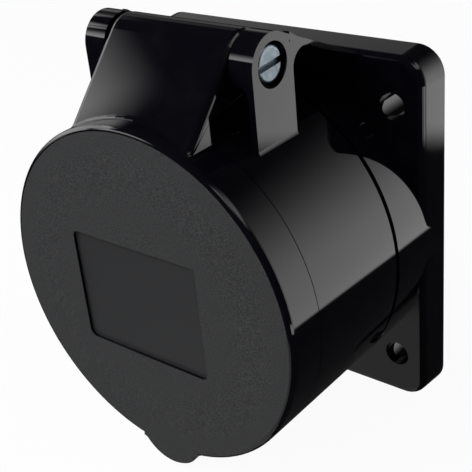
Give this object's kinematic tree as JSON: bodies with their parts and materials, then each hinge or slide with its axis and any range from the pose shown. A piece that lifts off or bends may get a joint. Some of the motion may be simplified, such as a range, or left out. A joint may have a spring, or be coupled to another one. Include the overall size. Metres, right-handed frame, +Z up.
{
  "type": "panel-mounted industrial socket outlet",
  "caption": "Black panel socket with a square flange, a round barrel and a spring-closed hinged lid over pin contacts.",
  "frame": {"origin": "on the barrel's axis at the flange's back face, the middle of the fixing holes", "axes": "+Z up the panel, the lid faces -Y, +X to the right as seen from the front"},
  "size_m": [0.075, 0.0696, 0.0932],
  "materials": {
    "shell": "gloss",
    "rubber": "matte",
    "insulator": "satin",
    "steel": "zinc plated",
    "brass": "turned"
  },
  "bodies": {
    "socket_body": {"housing": "shell", "flange_gasket": "rubber", "hinge_screw": "steel", "hinge_nut": "steel", "torsion_spring": "steel", "contact_carrier": "insulator", "terminal_carrier": "insulator", "carrier_screws": "steel", "centre_screw": "steel", "contact_pe": "brass", "contact_l1": "brass", "contact_l2": "brass", "contact_l3": "brass", "contact_n": "brass", "spring_ring_pe": "steel", "spring_ring_l1": "steel", "spring_ring_l2": "steel", "spring_ring_l3": "steel", "spring_ring_n": "steel", "terminal_screws": "steel"},
    "lid": {"lid": "shell", "lid_gasket": "rubber"}
  },
  "joints": [
    {"name": "lid_hinge", "type": "hinge", "parent": "socket_body", "child": "lid", "pos_m": [0, -0.0346, 0.046], "axis": [-1, 0, 0], "range_deg": [0, 108], "stiffness_Nm_per_rad": 0.03, "springref_deg": -57.3, "deforming": ["torsion_spring"]}
  ]
}
